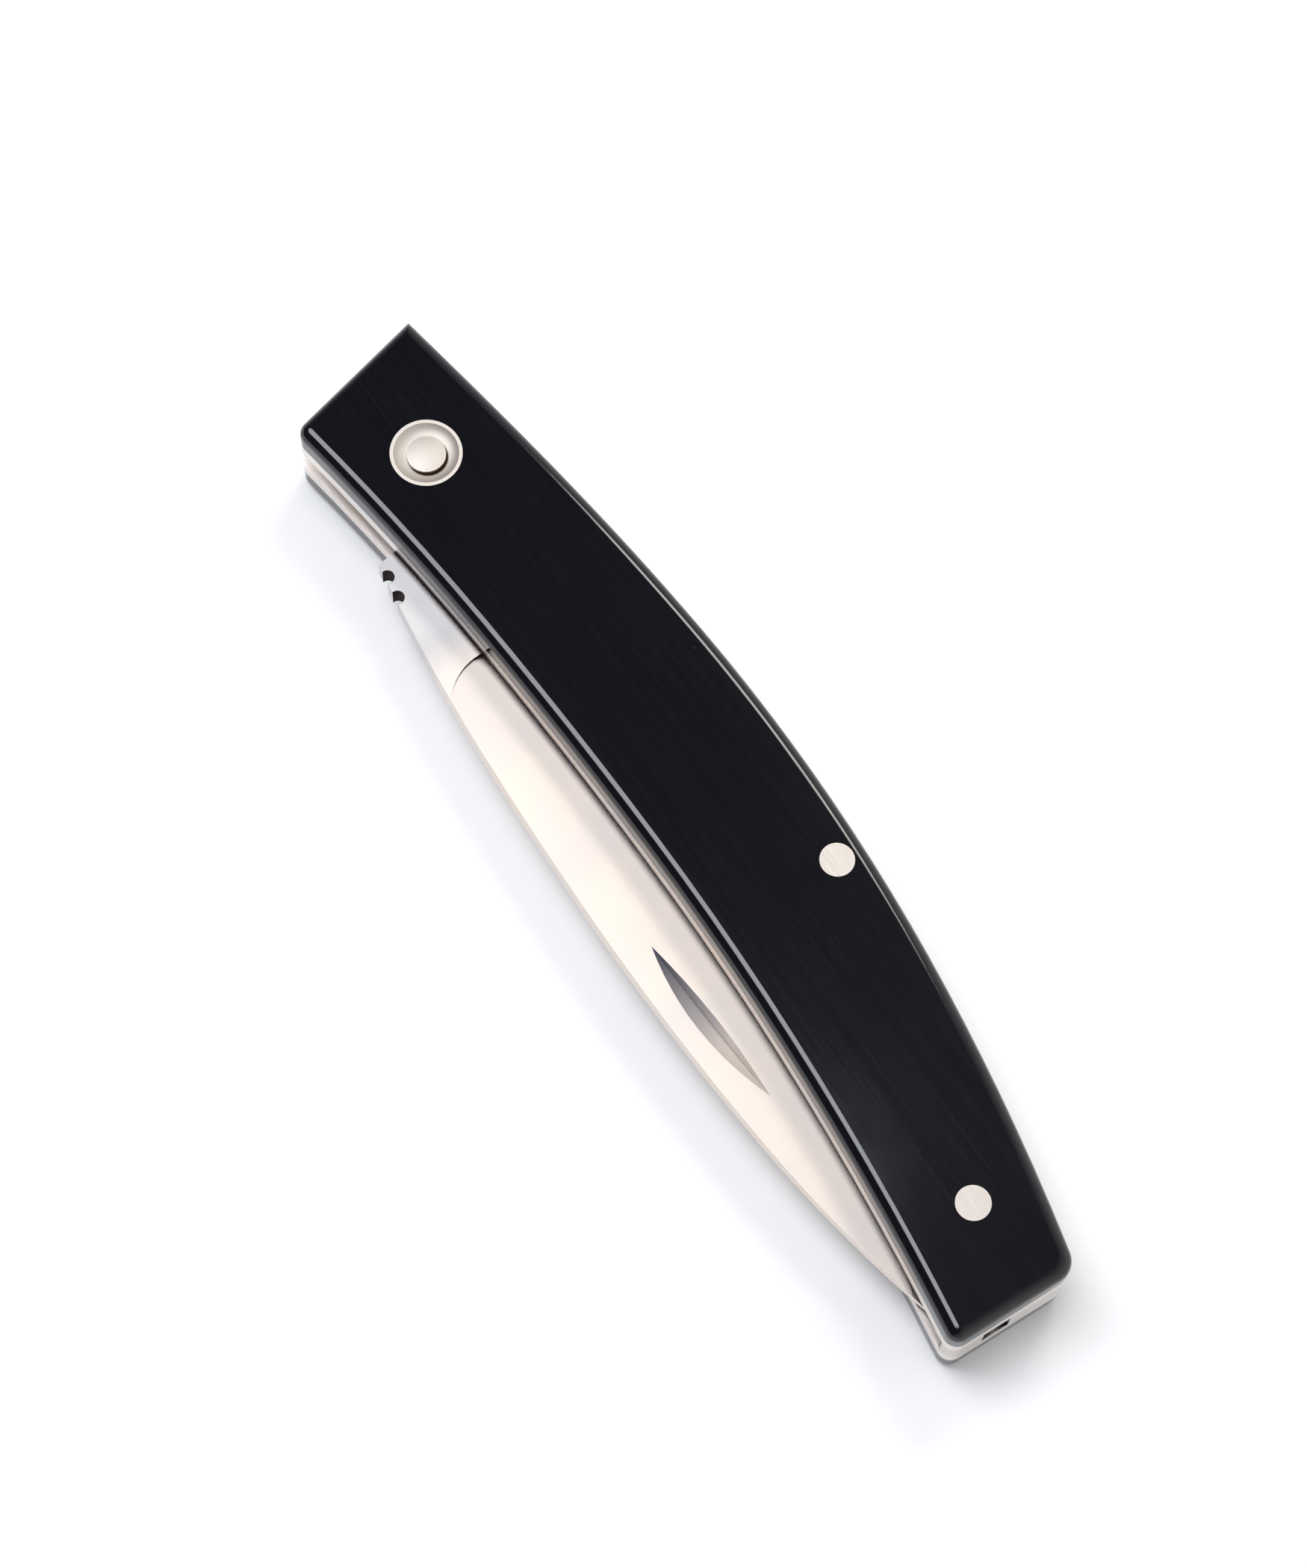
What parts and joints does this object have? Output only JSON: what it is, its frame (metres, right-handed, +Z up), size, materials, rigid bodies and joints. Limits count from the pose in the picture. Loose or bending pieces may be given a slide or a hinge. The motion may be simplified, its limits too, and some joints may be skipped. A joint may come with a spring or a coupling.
{
  "type": "folding pocket knife",
  "caption": "Bow-handled slip-joint pocket knife: black scales on steel liners, a flat-ground blade that swings out of the slot, and a back spring that holds it open or shut.",
  "frame": {"origin": "under the middle of the closed knife's box, on the face that it lies on", "axes": "+X along the handle from the pivot end to the tail, +Y across it towards the spine, +Z up through the thickness towards the side with the nail nick"},
  "size_m": [0.1016, 0.0222, 0.0103],
  "materials": {
    "black_scale": "polished black",
    "liner_steel": "ground",
    "spring_steel": "ground",
    "blade_steel": "polished",
    "nickel_silver": "polished nickel silver"
  },
  "bodies": {
    "handle": {"front_scale": "black_scale", "rear_scale": "black_scale", "front_liner": "liner_steel", "rear_liner": "liner_steel", "back_spring": "spring_steel", "pivot_pin": "nickel_silver", "front_pivot_washer": "nickel_silver", "rear_pivot_washer": "nickel_silver", "spring_pin": "nickel_silver", "tail_pin": "nickel_silver"},
    "blade": {"blade": "blade_steel"}
  },
  "joints": [
    {"name": "blade_pivot", "type": "hinge", "parent": "handle", "child": "blade", "pos_m": [-0.03893, -0.00032, 0.00515], "axis": [0, 0, -1], "range_deg": [0, 180], "deforming": ["back_spring"]}
  ]
}
